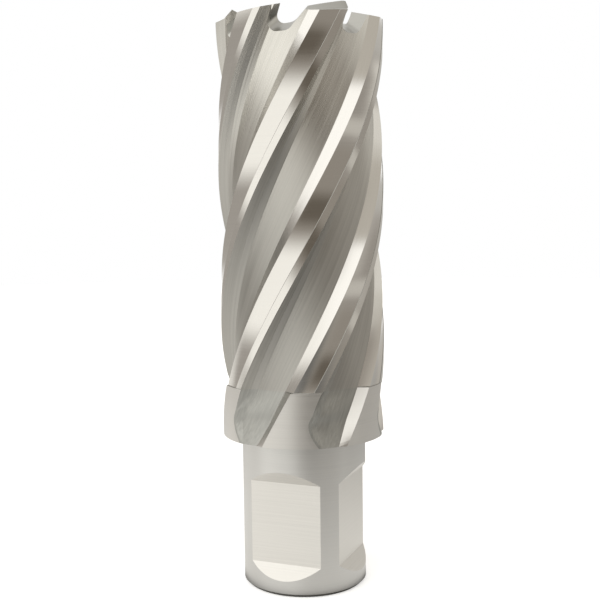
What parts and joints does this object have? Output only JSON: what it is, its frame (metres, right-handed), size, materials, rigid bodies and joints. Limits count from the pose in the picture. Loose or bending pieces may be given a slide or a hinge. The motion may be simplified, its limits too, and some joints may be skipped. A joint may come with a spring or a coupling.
{
  "type": "annular cutter",
  "caption": "Hollow core drill with helical flutes and toothed rim, on a plain shank with a pilot hole and two side-lock flats.",
  "frame": {"origin": "on the cutter's axis, in the plane of the shank's end face", "axes": "+Z along the axis from the shank's end towards the teeth; -Y out of the first flat; +X out of the second flat"},
  "size_m": [0.025, 0.025, 0.0872],
  "materials": {
    "ground_high_speed_steel": "ground, uncoated, satin to bright"
  },
  "bodies": {
    "root": {"annular_cutter": "ground_high_speed_steel"}
  },
  "joints": []
}
